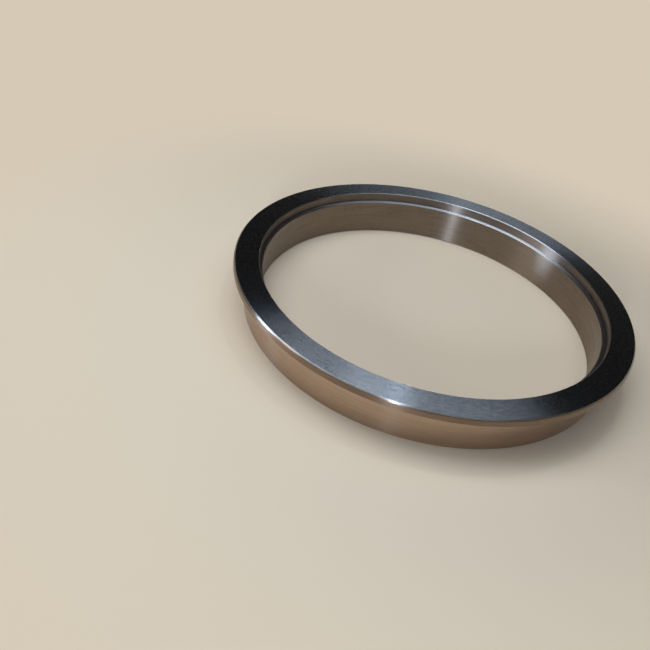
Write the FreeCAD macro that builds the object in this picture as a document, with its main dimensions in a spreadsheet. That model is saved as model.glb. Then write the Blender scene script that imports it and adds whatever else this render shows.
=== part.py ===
import FreeCAD, Part
import os
import Sketcher

# A wire drawing ring: one turned ring of tool steel that slides over the hub of a drawing capstan.
# The wire runs on the lapped outer wall and is held up by the lip at the top.
# The ring lies flat, lip up, with its origin at the middle of its bottom face and +Z along its axis.
# Lengths are in millimetres.

os.makedirs("parts", exist_ok=True)
doc = FreeCAD.newDocument("WireDrawingRing")

dimensions = [
    ("work_diameter", 400.0, "outer wall that the wire runs on"),
    ("ring_height", 52.0, "bottom face to top face"),
    ("wall_thickness", 16.0, "bore to outer wall"),
    ("lip_projection", 15.0, "how far the lip stands out from the outer wall"),
    ("lip_height", 7.6, "top face to the underside of the lip"),
    ("root_radius", 9.0, "hollow between the outer wall and the lip"),
    ("seat_width", 4.5, "ledge between the bore and the counterbore"),
    ("seat_depth", 10.5, "top face down to the ledge"),
    ("lip_chamfer", 1.5, "top outer edge of the lip"),
    ("lip_rounding", 2.4, "rounding where that chamfer meets the lip's land"),
    ("lip_break", 0.5, "lower edge of the lip"),
    ("mouth_chamfer", 0.8, "top edge of the counterbore"),
    ("seat_chamfer", 0.8, "inner edge of the ledge"),
    ("foot_chamfer", 0.8, "bottom edge of the outer wall"),
    ("bore_chamfer", 1.3, "bottom edge of the bore"),
]

sheet = doc.addObject("Spreadsheet::Sheet", "Dimensions")
for row, (alias, value, note) in enumerate(dimensions, start=1):
    sheet.set(f"A{row}", alias)
    sheet.set(f"B{row}", str(value))
    sheet.set(f"C{row}", note)
    sheet.setAlias(f"B{row}", alias)
doc.recompute()


def origin_plane(body, role):
    """The body's own origin plane that has this role."""
    return next(plane for plane in body.Origin.OriginFeatures if plane.Role == role)


def section_sketch(body):
    """Half section of the ring with plain corners, in the XZ plane to the right of the axis."""
    sketch = body.newObject("Sketcher::SketchObject", "Section")
    sketch.AttachmentSupport = [(origin_plane(body, "XZ_Plane"), "")]
    sketch.MapMode = "FlatFace"

    # Corners, anticlockwise from the bottom of the bore, at roughly their final places.
    corners = [
        (184, 0),
        (200, 0),
        (200, 44),
        (215, 44),
        (215, 52),
        (188, 52),
        (188, 42),
        (184, 42),
    ]
    points = [FreeCAD.Vector(x, y, 0) for x, y in corners]
    for start, end in zip(points, points[1:] + points[:1]):
        sketch.addGeometry(Part.LineSegment(start, end))
    foot, outer_wall, underside, land, top, counterbore, seat, bore = range(len(points))

    for line in range(len(points)):
        following = (line + 1) % len(points)
        sketch.addConstraint(Sketcher.Constraint("Coincident", line, 2, following, 1))
    for line in (foot, underside, top, seat):
        sketch.addConstraint(Sketcher.Constraint("Horizontal", line))
    for line in (outer_wall, land, counterbore, bore):
        sketch.addConstraint(Sketcher.Constraint("Vertical", line))
    x_axis = -1
    sketch.addConstraint(Sketcher.Constraint("PointOnObject", foot, 1, x_axis))

    def measure(name, kind, *where, size):
        """A named length in the sketch, bound to the sheet."""
        index = sketch.addConstraint(Sketcher.Constraint(kind, *where))
        sketch.renameConstraint(index, name)
        sketch.setExpression(f"Constraints.{name}", size)

    origin = (x_axis, 1)
    measure("wall_radius", "DistanceX", *origin, outer_wall, 1, 200.0,
            size="Dimensions.work_diameter / 2")
    measure("wall_thickness", "DistanceX", foot, 1, foot, 2, 16.0,
            size="Dimensions.wall_thickness")
    measure("height", "DistanceY", *origin, land, 2, 52.0,
            size="Dimensions.ring_height")
    measure("lip_projection", "DistanceX", underside, 1, underside, 2, 15.0,
            size="Dimensions.lip_projection")
    measure("lip_height", "DistanceY", land, 1, land, 2, 8.0,
            size="Dimensions.lip_height")
    measure("seat_width", "DistanceX", seat, 2, seat, 1, 4.0,
            size="Dimensions.seat_width")
    measure("seat_depth", "DistanceY", counterbore, 2, counterbore, 1, 10.0,
            size="Dimensions.seat_depth")
    return sketch


def circular_edge(shape, radius, height):
    """The name of the edge that is a circle of this radius about the axis, at this height."""
    tolerance = 1e-4
    for index, edge in enumerate(shape.Edges, start=1):
        curve = edge.Curve
        if not isinstance(curve, Part.Circle):
            continue
        if abs(curve.Radius - radius) < tolerance and abs(curve.Center.z - height) < tolerance:
            return f"Edge{index}"
    raise RuntimeError(f"no circular edge at radius {radius} and height {height}")


def dress(body, kind, name, base, size_property, size, radius, height):
    """Chamfers or rounds one circular edge of base by the size in the sheet."""
    feature = body.newObject(kind, name)
    feature.Base = (base, [circular_edge(base.Shape, radius, height)])
    feature.setExpression(size_property, size)
    doc.recompute()
    return feature


def drawing_ring():
    """The ring: its section turned about Z, then its edges and the hollow under the lip."""
    body = doc.addObject("PartDesign::Body", "DrawingRing")
    body.Label = "drawing_ring"
    body.Placement = FreeCAD.Placement()

    sketch = section_sketch(body)
    turned = body.newObject("PartDesign::Revolution", "Turned")
    turned.Profile = sketch
    turned.ReferenceAxis = (sketch, ["V_Axis"])
    turned.Angle = 360
    doc.recompute()

    wall = sheet.work_diameter / 2
    bore = wall - sheet.wall_thickness
    counterbore = bore + sheet.seat_width
    lip = wall + sheet.lip_projection
    top = sheet.ring_height
    underside = top - sheet.lip_height
    seat = top - sheet.seat_depth

    fillet = "PartDesign::Fillet"
    chamfer = "PartDesign::Chamfer"
    hollow = dress(body, fillet, "LipRoot", turned, "Radius", "Dimensions.root_radius", wall, underside)
    edge = dress(body, chamfer, "LipChamfer", hollow, "Size", "Dimensions.lip_chamfer", lip, top)
    edge = dress(body, fillet, "LipRounding", edge, "Radius", "Dimensions.lip_rounding",
                 lip, top - sheet.lip_chamfer)
    edge = dress(body, chamfer, "LipBreak", edge, "Size", "Dimensions.lip_break", lip, underside)
    edge = dress(body, chamfer, "MouthChamfer", edge, "Size", "Dimensions.mouth_chamfer", counterbore, top)
    edge = dress(body, chamfer, "SeatChamfer", edge, "Size", "Dimensions.seat_chamfer", bore, seat)
    edge = dress(body, chamfer, "FootChamfer", edge, "Size", "Dimensions.foot_chamfer", wall, 0)
    edge = dress(body, chamfer, "BoreChamfer", edge, "Size", "Dimensions.bore_chamfer", bore, 0)
    body.Tip = edge
    return body


ring = drawing_ring()
doc.recompute()

for item in doc.Objects:
    if "Invalid" in item.State or "Error" in item.State:
        raise RuntimeError(f"{item.Name} failed: {item.State}")
for body in (ring,):
    if body.Shape.isNull() or not body.Shape.isValid():
        raise RuntimeError(f"{body.Label} has no valid shape")
    body.Shape.exportStep(f"parts/{body.Label}.step")
    print(body.Label, round(body.Shape.Volume), "cubic mm")
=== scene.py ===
import math

import bmesh
import bpy
from mathutils import Matrix, Vector


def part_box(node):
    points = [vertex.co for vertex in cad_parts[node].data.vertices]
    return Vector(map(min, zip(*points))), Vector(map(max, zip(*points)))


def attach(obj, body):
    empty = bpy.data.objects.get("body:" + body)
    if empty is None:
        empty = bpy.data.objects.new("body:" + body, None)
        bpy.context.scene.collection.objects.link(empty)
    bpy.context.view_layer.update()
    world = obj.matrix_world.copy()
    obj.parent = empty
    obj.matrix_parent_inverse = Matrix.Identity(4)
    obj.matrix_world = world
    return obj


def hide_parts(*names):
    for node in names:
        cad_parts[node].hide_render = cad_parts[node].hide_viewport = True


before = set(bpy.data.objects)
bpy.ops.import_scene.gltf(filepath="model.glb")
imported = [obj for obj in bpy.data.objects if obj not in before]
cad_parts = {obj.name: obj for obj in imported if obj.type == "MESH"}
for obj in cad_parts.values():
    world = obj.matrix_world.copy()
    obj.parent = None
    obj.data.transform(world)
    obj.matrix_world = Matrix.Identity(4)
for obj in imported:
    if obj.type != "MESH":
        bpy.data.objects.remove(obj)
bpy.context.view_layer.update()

mm = 0.001


def linearColour(hexCode):
    # sRGB hex to the linear values that a shader wants, with full alpha
    channels = [int(hexCode[i:i + 2], 16) / 255 for i in (1, 3, 5)]
    linear = [c / 12.92 if c <= 0.04045 else ((c + 0.055) / 1.055) ** 2.4 for c in channels]
    return (*linear, 1.0)


def addNode(tree, kind, settings=None, links=None):
    # settings name a property of the node or one of its inputs
    # links name an input and the socket that feeds it
    node = tree.nodes.new(kind)
    for key, value in (settings or {}).items():
        if isinstance(key, str) and hasattr(node, key):
            setattr(node, key, value)
        else:
            node.inputs[key].default_value = value
    for key, socket in (links or {}).items():
        tree.links.new(socket, node.inputs[key])
    return node


def selectOnly(piece):
    bpy.ops.object.select_all(action="DESELECT")
    piece.select_set(True)
    bpy.context.view_layer.objects.active = piece


# The ring itself. Radii and heights in metres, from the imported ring's box and the drawing's steps.
print("ring: section, corners, turning")

low, high = (Vector(corner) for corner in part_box("drawing_ring"))
lipRadius = min(high.x - low.x, high.y - low.y) / 2

ring = {
    "lipRadius": lipRadius,
    "height": high.z,
    "lipProjection": 15.0 * mm,
    "lipHeight": 7.6 * mm,
    "wallThickness": 16.0 * mm,
    "seatWidth": 4.5 * mm,
    "seatDepth": 10.5 * mm,
    "rootRadius": 9.0 * mm,
    "rootSteps": 16,
    "lipChamfer": 1.5 * mm,
    "lipRounding": 2.4 * mm,
    "roundingSteps": 6,
    "lipBreak": 0.5 * mm,
    "mouthChamfer": 0.8 * mm,
    "seatChamfer": 0.8 * mm,
    "footChamfer": 0.8 * mm,
    "boreChamfer": 1.3 * mm,
    "supportGap": 0.35 * mm,    # loops beside the hollow and the rounding keep flat faces looking flat
    "turns": 720,
    "chamferAngle": math.radians(45),
    "straightWithin": math.radians(1),
    "weldWithin": 0.001 * mm,
    "shadeSplit": math.radians(30),
    "arcProfile": 0.5,          # a true quarter of a circle
}
wallRadius = ring["lipRadius"] - ring["lipProjection"]
boreRadius = wallRadius - ring["wallThickness"]
counterboreRadius = boreRadius + ring["seatWidth"]
underside = ring["height"] - ring["lipHeight"]
seatHeight = ring["height"] - ring["seatDepth"]
near = 0.02 * mm


def selectCorners(piece, test):
    # picks vertices of the section, or edges whose two ends both pass
    mesh = bmesh.from_edit_mesh(piece.data)
    for vert in mesh.verts:
        vert.select = test(vert.co)
    mesh.select_flush_mode()
    mesh.select_flush(True)
    bmesh.update_edit_mesh(piece.data)


def extrudeEdge(piece, test, step):
    selectCorners(piece, test)
    bpy.ops.mesh.extrude_edges_move(TRANSFORM_OT_translate={"value": step})


def bevelCorner(piece, radius, height, size, steps=1):
    selectCorners(piece, lambda co: abs(co.x - radius) < near and abs(co.z - height) < near)
    bpy.ops.mesh.bevel(offset=size, segments=steps, affect="VERTICES", profile=ring["arcProfile"])


def makeRing():
    bpy.ops.object.select_all(action="DESELECT")

    # half section: the wall up to the ledge, as wide as the counterbore leaves it
    width = wallRadius - counterboreRadius
    bpy.ops.mesh.primitive_plane_add(
        size=1, enter_editmode=True, rotation=(math.pi / 2, 0, 0),
        location=(counterboreRadius + width / 2, 0, seatHeight / 2))
    piece = bpy.context.object
    piece.name = "turnedRing"
    bpy.ops.mesh.select_all(action="SELECT")
    bpy.ops.transform.resize(value=(width, 1, seatHeight))
    bpy.ops.object.mode_set(mode="OBJECT")
    bpy.ops.object.transform_apply(location=True, rotation=True, scale=True)
    bpy.ops.object.mode_set(mode="EDIT")
    bpy.ops.mesh.select_mode(type="VERT")

    # up to the underside of the lip, up to the top face, then the lip outwards and the bore inwards
    extrudeEdge(piece, lambda co: co.z > seatHeight - near, (0, 0, underside - seatHeight))
    extrudeEdge(piece, lambda co: co.z > underside - near, (0, 0, ring["lipHeight"]))
    extrudeEdge(
        piece,
        lambda co: co.x > wallRadius - near and co.z > underside - near,
        (ring["lipProjection"], 0, 0))
    extrudeEdge(
        piece,
        lambda co: co.x < counterboreRadius + near and co.z < seatHeight + near,
        (-ring["seatWidth"], 0, 0))
    bpy.ops.mesh.select_all(action="SELECT")
    bpy.ops.mesh.dissolve_limited(angle_limit=ring["straightWithin"])

    # edges that the lathe leaves, then the hollow under the lip
    bevelCorner(piece, wallRadius, underside, ring["rootRadius"], ring["rootSteps"])
    bevelCorner(piece, ring["lipRadius"], ring["height"], ring["lipChamfer"])
    roundingReach = ring["lipRounding"] * math.tan(ring["chamferAngle"] / 2)
    shoulder = ring["height"] - ring["lipChamfer"]
    bevelCorner(piece, ring["lipRadius"], shoulder, roundingReach, ring["roundingSteps"])
    bevelCorner(piece, ring["lipRadius"], underside, ring["lipBreak"])
    bevelCorner(piece, counterboreRadius, ring["height"], ring["mouthChamfer"])
    bevelCorner(piece, boreRadius, seatHeight, ring["seatChamfer"])
    bevelCorner(piece, wallRadius, 0, ring["footChamfer"])
    bevelCorner(piece, boreRadius, 0, ring["boreChamfer"])

    # turned about the axis
    bpy.ops.mesh.select_all(action="SELECT")
    bpy.ops.mesh.delete(type="ONLY_FACE")
    bpy.ops.mesh.select_all(action="SELECT")
    bpy.ops.mesh.spin(steps=ring["turns"], angle=math.tau, center=(0, 0, 0), axis=(0, 0, 1))
    bpy.ops.mesh.select_all(action="SELECT")
    bpy.ops.mesh.remove_doubles(threshold=ring["weldWithin"])

    supportHeights = (
        underside - ring["rootRadius"] - ring["supportGap"],
        underside + ring["lipBreak"] + ring["supportGap"],
        shoulder - roundingReach - ring["supportGap"],
    )
    for height in supportHeights:
        bpy.ops.mesh.select_all(action="SELECT")
        bpy.ops.mesh.bisect(plane_co=(0, 0, height), plane_no=(0, 0, 1))
    bpy.ops.mesh.select_all(action="SELECT")
    bpy.ops.mesh.normals_make_consistent(inside=False)
    bpy.ops.object.mode_set(mode="OBJECT")

    selectOnly(piece)
    bpy.ops.object.shade_smooth_by_angle(angle=ring["shadeSplit"])
    return piece


turnedRing = makeRing()
print("ring: faces", len(turnedRing.data.polygons))


def wrapSection(piece):
    # UV map: U once round the ring, V outwards and upwards along the section, both in metres
    mesh = piece.data
    layer = mesh.uv_layers.new(name="roundTheRing")
    for polygon in mesh.polygons:
        middle = math.atan2(polygon.center.y, polygon.center.x)
        for loop in polygon.loop_indices:
            co = mesh.vertices[mesh.loops[loop].vertex_index].co
            angle = math.atan2(co.y, co.x)
            angle += math.tau * round((middle - angle) / math.tau)
            layer.data[loop].uv = (angle * wallRadius, math.hypot(co.x, co.y) + co.z)


wrapSection(turnedRing)


# Tool steel, hardened and bare: a clear grey metal. Each face has its own finish, and the lip, wall,
# recess and bore also carry a painted reflection of a brown floor in their colour.
# Real lines and grit are about a tenth of a millimetre, too fine to show, so they are drawn coarser.
print("materials")

steelPattern = {
    "acrossLines": 0.25,     # a quarter turn, so that light spreads across the lines and not along them
    "lineDepth": 0.01 * mm,
    "lineDetail": 2.0,
    "lineRoughness": 0.6,
    "grainDetail": 1.0,
    "blotchDetail": 3.0,
    "grainShare": 0.35,      # grain over lines
    "blotchShare": 0.25,     # clouds over both
    "patternFrom": 0.4,      # the part of the noise that the two steels share between them
    "patternTo": 0.6,
}

# fine feed marks from a lathe tool
turnedLines = {
    "lineSpacing": 0.1 * mm, "grit": 0.15 * mm, "coarser": 8,
    "lineLength": 20 * mm, "lineStrength": 0.08, "blotchSize": 20 * mm,
}

steelLook = {
    # ground by a wheel: clouded blue grey, with a soft sheen that runs across the face
    "groundTopSteel": {
        "steel": "#c2c5c8", "steelPatch": "#999da1",
        "smoothest": 0.245, "roughest": 0.275, "brushed": 0.97,
        "scratchShare": 0.13, "scratchSpread": 1.8,
        "lineSpacing": 0.12 * mm, "grit": 0.175 * mm, "coarser": 20,
        "lineLength": 9 * mm, "lineStrength": 0.02, "blotchSize": 30 * mm,
    },
    # edges broken on the lathe: thin bright lines that catch every lamp
    "brokenEdgeSteel": {
        "steel": "#b9b9b8", "steelPatch": "#abaaa9",
        "smoothest": 0.31, "roughest": 0.34, "brushed": 0.97,
        "scratchShare": 0.13, "scratchSpread": 1.8,
        **turnedLines,
    },
    # turned lip and hollow: base colour darker and warmer than the steel, a painted reflection of the
    # brown floor it faces
    "turnedLipSteelPaintedReflection": {
        "steel": "#937f70", "steelPatch": "#887565",
        "smoothest": 0.185, "roughest": 0.215, "brushed": 0.97,
        "scratchShare": 0.55, "scratchSpread": 1.8,
        **turnedLines,
    },
    # lapped where the wire runs: almost a mirror, smeared upright; it mirrors the warm floor, and its
    # base colour is tinted brown on top of that, a painted reflection of a browner floor
    "lappedWallSteelPaintedReflection": {
        "steel": "#c0aa97", "steelPatch": "#b49e8b",
        "smoothest": 0.11, "roughest": 0.13, "brushed": 0.97,
        "scratchShare": 0.07, "scratchSpread": 2.8,
        "lineSpacing": 0.1 * mm, "grit": 0.1 * mm, "coarser": 16,
        "lineLength": 60 * mm, "lineStrength": 0.05, "blotchSize": 40 * mm,
    },
    # ground bore: brushed, each lamp a clear upright streak; its base colour is darkened and browned, a
    # painted reflection of a dark brown floor inside the ring
    "groundBoreSteelPaintedReflection": {
        "steel": "#8c8075", "steelPatch": "#81756a",
        "smoothest": 0.255, "roughest": 0.275, "brushed": 1.0,
        "scratchShare": 0.05, "scratchSpread": 1.6,
        "lineSpacing": 0.125 * mm, "grit": 0.1 * mm, "coarser": 16,
        "lineLength": 60 * mm, "lineStrength": 0.06, "blotchSize": 40 * mm,
    },
    # turned side of the counterbore: like the bore, a little duller, with the same painted dark brown
    # floor reflection in its colour
    "turnedRecessSteelPaintedReflection": {
        "steel": "#887d74", "steelPatch": "#7d7269",
        "smoothest": 0.32, "roughest": 0.36, "brushed": 1.0,
        "scratchShare": 0.05, "scratchSpread": 1.6,
        **turnedLines,
    },
    # turned ledge inside the counterbore: a pale, even line
    "turnedSeatSteel": {
        "steel": "#d4d5d7", "steelPatch": "#c6c7c9",
        "smoothest": 0.38, "roughest": 0.42, "brushed": 0.97,
        "scratchShare": 0.13, "scratchSpread": 1.8,
        **turnedLines,
    },
}


def steelFinish(name, look):
    # the steel colour as given (on the lip, wall, recess and bore with a painted floor reflection in
    # it), more or less rough, with the fine rings that turning or grinding leaves
    material = bpy.data.materials.new(name)
    material.use_nodes = True
    tree = material.node_tree
    tree.nodes.clear()

    place = addNode(tree, "ShaderNodeTexCoord").outputs["Object"]
    split = addNode(tree, "ShaderNodeSeparateXYZ", links={0: place})
    flat = addNode(
        tree, "ShaderNodeCombineXYZ", links={0: split.outputs[0], 1: split.outputs[1]}).outputs[0]
    radius = addNode(tree, "ShaderNodeVectorMath", {"operation": "LENGTH"}, {0: flat}).outputs["Value"]
    across = addNode(
        tree, "ShaderNodeMath", {"operation": "ADD"}, {0: radius, 1: split.outputs[2]}).outputs[0]
    outward = addNode(tree, "ShaderNodeVectorMath", {"operation": "NORMALIZE"}, {0: flat}).outputs[0]

    # long thin arcs: slow round the ring, quick across it
    roundTheRing = {"operation": "SCALE", "Scale": wallRadius / look["lineLength"]}
    slow = addNode(tree, "ShaderNodeVectorMath", roundTheRing, {0: outward}).outputs[0]
    slowSplit = addNode(tree, "ShaderNodeSeparateXYZ", links={0: slow})
    acrossTheRing = {"operation": "MULTIPLY", 1: 1 / (look["lineSpacing"] * look["coarser"])}
    quick = addNode(tree, "ShaderNodeMath", acrossTheRing, {0: across}).outputs[0]
    arcs = addNode(
        tree, "ShaderNodeCombineXYZ",
        links={0: slowSplit.outputs[0], 1: slowSplit.outputs[1], 2: quick}).outputs[0]
    lines = addNode(
        tree, "ShaderNodeTexNoise",
        {"Scale": 1.0, "Detail": steelPattern["lineDetail"], "Roughness": steelPattern["lineRoughness"]},
        {0: arcs}).outputs["Fac"]

    # grit between the lines, and clouds over both
    grain = addNode(
        tree, "ShaderNodeTexNoise",
        {"Scale": 1 / (look["grit"] * look["coarser"]), "Detail": steelPattern["grainDetail"]},
        {0: place}).outputs["Fac"]
    blotches = addNode(
        tree, "ShaderNodeTexNoise",
        {"Scale": 1 / look["blotchSize"], "Detail": steelPattern["blotchDetail"]},
        {0: place}).outputs["Fac"]
    fine = addNode(
        tree, "ShaderNodeMix", {"data_type": "FLOAT", "Factor": steelPattern["grainShare"]},
        {"A": lines, "B": grain}).outputs[0]
    mixed = addNode(
        tree, "ShaderNodeMix", {"data_type": "FLOAT", "Factor": steelPattern["blotchShare"]},
        {"A": fine, "B": blotches}).outputs[0]

    span = {"From Min": steelPattern["patternFrom"], "From Max": steelPattern["patternTo"]}
    tone = addNode(tree, "ShaderNodeMapRange", span, {"Value": mixed}).outputs[0]
    rough = addNode(
        tree, "ShaderNodeMapRange", {**span, "To Min": look["smoothest"], "To Max": look["roughest"]},
        {"Value": mixed}).outputs[0]
    colour = addNode(
        tree, "ShaderNodeMix",
        {"data_type": "RGBA", 6: linearColour(look["steel"]), 7: linearColour(look["steelPatch"])},
        {0: tone}).outputs[2]
    bump = addNode(
        tree, "ShaderNodeBump",
        {"Strength": look["lineStrength"], "Distance": steelPattern["lineDepth"]},
        {"Height": lines}).outputs[0]

    # the deeper scratches spread the same light further
    spread = {"operation": "MULTIPLY", 1: look["scratchSpread"]}
    rougher = addNode(tree, "ShaderNodeMath", spread, {0: rough}).outputs[0]
    brushed = {
        "Metallic": 1.0,
        "Anisotropic": look["brushed"],
        "Anisotropic Rotation": steelPattern["acrossLines"],
    }
    surface = {"Base Color": colour, "Normal": bump}
    steel = addNode(tree, "ShaderNodeBsdfPrincipled", brushed, {**surface, "Roughness": rough})
    scratched = addNode(tree, "ShaderNodeBsdfPrincipled", brushed, {**surface, "Roughness": rougher})
    both = addNode(
        tree, "ShaderNodeMixShader", {0: look["scratchShare"]},
        {1: steel.outputs[0], 2: scratched.outputs[0]})
    addNode(tree, "ShaderNodeOutputMaterial", links={0: both.outputs[0]})
    return material


facing = {"level": 0.99, "slopeFrom": 0.6, "slopeTo": 0.8}    # size of the normal's upright part


def zoneOf(polygon):
    # which finish a face of the ring has, by where it is and which way it points
    radius = math.hypot(polygon.center.x, polygon.center.y)
    height = polygon.center.z
    outwards = (polygon.normal.x * polygon.center.x + polygon.normal.y * polygon.center.y) / radius
    tilt = abs(polygon.normal.z)
    chamfered = facing["slopeFrom"] < tilt < facing["slopeTo"]
    if polygon.normal.z > facing["level"]:
        return "groundTopSteel" if height > seatHeight + near else "turnedSeatSteel"
    if tilt > facing["level"]:
        return "groundTopSteel" if height < near else "turnedLipSteelPaintedReflection"
    if outwards > 0:
        if height > underside:
            atTop = height > ring["height"] - ring["lipChamfer"]
            return "brokenEdgeSteel" if chamfered and atTop else "turnedLipSteelPaintedReflection"
        if height > underside - ring["rootRadius"]:
            return "turnedLipSteelPaintedReflection"
        return "brokenEdgeSteel" if chamfered else "lappedWallSteelPaintedReflection"
    if chamfered:
        return "brokenEdgeSteel"
    return "turnedRecessSteelPaintedReflection" if height > seatHeight else "groundBoreSteelPaintedReflection"


names = list(steelLook)
for name in names:
    turnedRing.data.materials.append(steelFinish(name, steelLook[name]))
for polygon in turnedRing.data.polygons:
    polygon.material_index = names.index(zoneOf(polygon))

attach(turnedRing, "root")
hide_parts("drawing_ring")


# Floor, light and camera
print("stage")

stage = {
    "floorSize": 12.0,
    "floorColour": "#ead5b9",
    "floorFar": "#d6cab6",
    "farFrom": 0.25,         # metres from the middle of the ring
    "farFull": 0.6,
    "worldColour": "#1b1b1c",
    "paleUpTo": 0.04,        # how steeply the line of sight rises
    "darkFrom": 0.18,
}


def seenRays(tree):
    # 1 for what the camera sees straight on, in metal or through glass, 0 for light
    rays = addNode(tree, "ShaderNodeLightPath")
    seen = rays.outputs["Is Camera Ray"]
    for kind in ("Is Glossy Ray", "Is Transmission Ray"):
        also = rays.outputs[kind]
        seen = addNode(tree, "ShaderNodeMath", {"operation": "ADD"}, {0: seen, 1: also}).outputs[0]
    return seen


def paleFloor(look):
    # matt card: a warm, even ground without a sheen
    # further out it fades into the backdrop's tone, so that no edge of the lamps' light shows
    material = bpy.data.materials.new("mattCard")
    material.use_nodes = True
    tree = material.node_tree
    tree.nodes.clear()
    card = addNode(tree, "ShaderNodeBsdfDiffuse", {"Color": linearColour(look["floorColour"])})
    beyond = addNode(
        tree, "ShaderNodeEmission", {"Color": linearColour(look["floorFar"]), "Strength": 1.0})
    place = addNode(tree, "ShaderNodeTexCoord").outputs["Object"]
    away = addNode(tree, "ShaderNodeVectorMath", {"operation": "LENGTH"}, {0: place}).outputs["Value"]
    fade = addNode(
        tree, "ShaderNodeMapRange",
        {"interpolation_type": "SMOOTHSTEP", "From Min": look["farFrom"], "From Max": look["farFull"]},
        {"Value": away}).outputs[0]
    share = addNode(
        tree, "ShaderNodeMath", {"operation": "MULTIPLY", "use_clamp": True},
        {0: fade, 1: seenRays(tree)}).outputs[0]
    both = addNode(
        tree, "ShaderNodeMixShader", links={0: share, 1: card.outputs[0], 2: beyond.outputs[0]})
    addNode(tree, "ShaderNodeOutputMaterial", links={0: both.outputs[0]})
    return material


bpy.ops.object.select_all(action="DESELECT")
bpy.ops.mesh.primitive_plane_add(size=stage["floorSize"], location=(0, 0, 0))
floor = bpy.context.object
floor.name = "floor"
floor.data.materials.append(paleFloor(stage))


def backdrop(look):
    # A dim room, with a pale screen all round it.
    # The camera sees only the screen, and steel sees the room above it too.
    world = bpy.data.worlds.new("studio")
    world.use_nodes = True
    tree = world.node_tree
    tree.nodes.clear()
    room = addNode(
        tree, "ShaderNodeBackground", {"Color": linearColour(look["worldColour"]), "Strength": 1.0})
    pale = addNode(
        tree, "ShaderNodeBackground", {"Color": linearColour(look["floorFar"]), "Strength": 1.0})
    sight = addNode(tree, "ShaderNodeTexCoord").outputs["Generated"]
    upward = addNode(tree, "ShaderNodeSeparateXYZ", links={0: sight}).outputs[2]
    low = addNode(
        tree, "ShaderNodeMapRange",
        {"interpolation_type": "SMOOTHSTEP", "From Min": look["paleUpTo"], "From Max": look["darkFrom"],
         "To Min": 1.0, "To Max": 0.0},
        {"Value": upward}).outputs[0]
    screen = addNode(
        tree, "ShaderNodeMath", {"operation": "MULTIPLY", "use_clamp": True},
        {0: low, 1: seenRays(tree)}).outputs[0]
    straight = addNode(tree, "ShaderNodeLightPath").outputs["Is Camera Ray"]
    share = addNode(
        tree, "ShaderNodeMath", {"operation": "MAXIMUM"}, {0: straight, 1: screen}).outputs[0]
    both = addNode(
        tree, "ShaderNodeMixShader", links={0: share, 1: room.outputs[0], 2: pale.outputs[0]})
    addNode(tree, "ShaderNodeOutputWorld", links={0: both.outputs[0]})
    return world


bpy.context.scene.world = backdrop(stage)


print("lamps, camera")

# Softboxes, in metres. Radiance is what a mirror shows of them, where 1 is white.
overheadTurn = math.radians(-85.8)
lamps = {
    "overheadLeft": {
        "size": (0.932, 1.400), "place": (-0.814, -0.185, 1.552), "turn": (0, 0, overheadTurn),
        "radiance": 4.4, "colour": "#e4f0ff",
    },
    "overheadFill": {
        "size": (1.856, 1.201), "place": (0.362, 0.012, 1.553), "turn": (0, 0, overheadTurn),
        "radiance": 1.10, "colour": "#e4f0ff",
    },
    "overheadSmall": {
        "size": (0.060, 0.060), "place": (-0.003, 0.260, 1.500), "aim": (0.0, 0.0, 0.052),
        "radiance": 110.0, "colour": "#e4f0ff",
    },
    "leftStrip": {
        "size": (0.750, 0.249), "place": (-1.600, -0.800, 0.549), "aim": (0.0, 0.0, 0.549),
        "radiance": 8.0, "colour": "#ffffff",
    },
    "leftLow": {
        "size": (0.300, 0.160), "place": (-1.573, -0.470, 0.170), "aim": (0.0, 0.0, 0.200),
        "radiance": 75.0, "colour": "#c4deff",
    },
    "frontLow": {
        "size": (0.036, 0.178), "place": (-0.012, -1.400, 0.430), "aim": (0.0, 0.0, 0.052),
        "radiance": 330.0, "colour": "#cfe4ff",
    },
}


def addLamp(name, lamp):
    data = bpy.data.lights.new(name, "AREA")
    data.shape = "RECTANGLE"
    data.size, data.size_y = lamp["size"]
    data.energy = math.pi * lamp["size"][0] * lamp["size"][1] * lamp["radiance"]
    data.color = linearColour(lamp["colour"])[:3]
    light = bpy.data.objects.new(name, data)
    bpy.context.scene.collection.objects.link(light)
    light.location = lamp["place"]
    if "aim" in lamp:
        towards = Vector(lamp["aim"]) - Vector(lamp["place"])
        light.rotation_euler = towards.to_track_quat("-Z", "Y").to_euler()
    else:
        light.rotation_euler = lamp["turn"]


for name, lamp in lamps.items():
    addLamp(name, lamp)

view = {
    "place": (0.0, -0.6476, 0.4303),
    "aim": (-0.0942, -0.0727, 0.0),
    "roll": math.radians(11.833),
    "lens": 38.08,
    "sensorWidth": 36.0,
    "clipStart": 0.01,
}
camera = bpy.data.objects.new("camera", bpy.data.cameras.new("camera"))
bpy.context.scene.collection.objects.link(camera)
camera.data.lens = view["lens"]
camera.data.sensor_width = view["sensorWidth"]
camera.data.clip_start = view["clipStart"]
sight = (Vector(view["aim"]) - Vector(view["place"])).to_track_quat("-Z", "Y").to_matrix().to_4x4()
camera.matrix_world = Matrix.Translation(view["place"]) @ sight @ Matrix.Rotation(view["roll"], 4, "Z")
bpy.context.scene.camera = camera
bpy.context.scene.view_settings.view_transform = "Standard"
